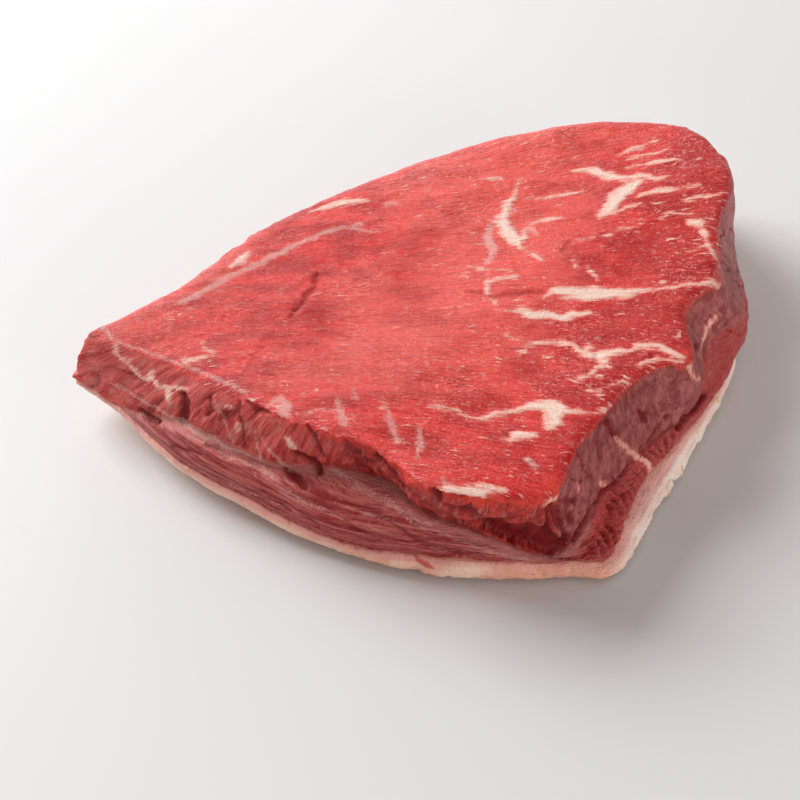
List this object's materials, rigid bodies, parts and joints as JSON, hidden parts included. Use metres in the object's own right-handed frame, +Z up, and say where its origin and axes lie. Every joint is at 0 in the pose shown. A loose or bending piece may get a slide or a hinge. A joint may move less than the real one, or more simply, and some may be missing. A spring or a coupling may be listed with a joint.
{
  "type": "raw picanha steak",
  "caption": "Whole raw rump cap of beef in one piece, a rounded triangle of lean meat lying on its own cap of fat.",
  "frame": {"origin": "bottom centre of the whole cut's box, on the surface it lies on", "axes": "+Z up from the fat to the top of the lean, -X towards the thin tip, +X towards the wide cut end, -Y towards the long cut front"},
  "size_m": [0.2556, 0.225, 0.0493],
  "materials": {
    "lean": "raw wet lean beef, fine grain with light flecks, fat seams and darker purple-red cut sides",
    "fat": "raw cream-white beef fat with pink and tan stains, waxy and slightly wet"
  },
  "bodies": {
    "root": {"lean_meat": "lean", "fat_cap": "fat"}
  },
  "joints": []
}
